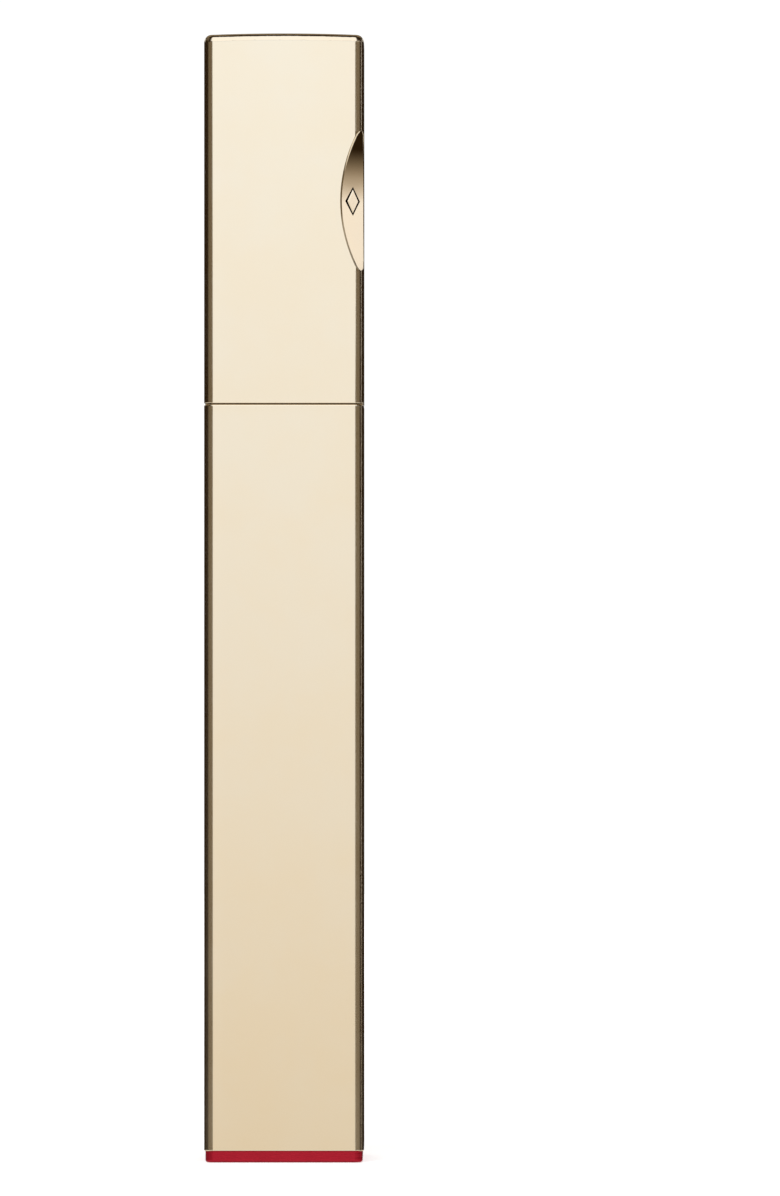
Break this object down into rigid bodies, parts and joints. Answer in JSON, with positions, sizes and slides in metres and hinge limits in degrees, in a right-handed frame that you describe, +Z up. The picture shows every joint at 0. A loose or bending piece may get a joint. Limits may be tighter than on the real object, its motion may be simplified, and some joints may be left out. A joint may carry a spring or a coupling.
{
  "type": "mascara tube",
  "caption": "Slim square gold mascara tube with a red base, a screw cap scooped at one corner, and a wand with a twisted-wire bristle brush.",
  "frame": {"origin": "centre of the base's underside, where the closed tube stands", "axes": "+Z up the tube, -Y the front face, +X to the right seen from the front; the cap's scooped corner is at +X, -Y"},
  "size_m": [0.017, 0.017, 0.1202],
  "materials": {
    "gold_metallised": "metallised gold, polished",
    "red_plate": "deep red, satin metallic",
    "black_plastic": "satin black",
    "black_gloss_plastic": "semi-gloss black",
    "natural_plastic": "natural translucent",
    "soft_plastic": "natural, matte",
    "seal_rubber": "matte",
    "steel_wire": "drawn wire",
    "mascara": "wet, brown with gold glitter",
    "bristle_nylon": "dark brown filaments"
  },
  "bodies": {
    "bottle": {"outer_sleeve": "gold_metallised", "base_plate": "red_plate", "base_insert": "black_plastic", "vial": "natural_plastic", "formula": "mascara", "shoulder_collar": "black_plastic", "wiper": "soft_plastic"},
    "washer": {"seal_washer": "soft_plastic"},
    "soft_ring": {"stem_seal": "seal_rubber"},
    "cap": {"cap_shell": "gold_metallised", "scoop_inlay": "gold_metallised", "cap_liner": "black_plastic", "stem": "black_gloss_plastic", "core_wire": "steel_wire", "brush_formula": "mascara", "bristle_row_01": "bristle_nylon", "bristle_row_02": "bristle_nylon", "bristle_row_03": "bristle_nylon", "bristle_row_04": "bristle_nylon", "bristle_row_05": "bristle_nylon", "bristle_row_06": "bristle_nylon", "bristle_row_07": "bristle_nylon", "bristle_row_08": "bristle_nylon", "bristle_row_09": "bristle_nylon", "bristle_row_10": "bristle_nylon", "bristle_row_11": "bristle_nylon", "bristle_row_12": "bristle_nylon", "bristle_row_13": "bristle_nylon", "bristle_row_14": "bristle_nylon", "bristle_row_15": "bristle_nylon", "bristle_row_16": "bristle_nylon", "bristle_row_17": "bristle_nylon", "bristle_row_18": "bristle_nylon"}
  },
  "joints": [
    {"name": "wand_pull", "type": "slide", "parent": "bottle", "child": "washer", "axis": [0, 0, 1], "range_m": [0, 0.09], "deforming": ["wiper"]},
    {"name": "thread_rise", "type": "slide", "parent": "washer", "child": "soft_ring", "axis": [0, 0, 1], "range_m": [0, 0.0035]},
    {"name": "cap_unscrew", "type": "hinge", "parent": "soft_ring", "child": "cap", "pos_m": [0, 0, 0], "axis": [0, 0, 1], "range_deg": [0, 630]}
  ],
  "couplings": [
    {"joint": "thread_rise", "follows": "cap_unscrew", "m_per_rad": 0.00031831}
  ]
}
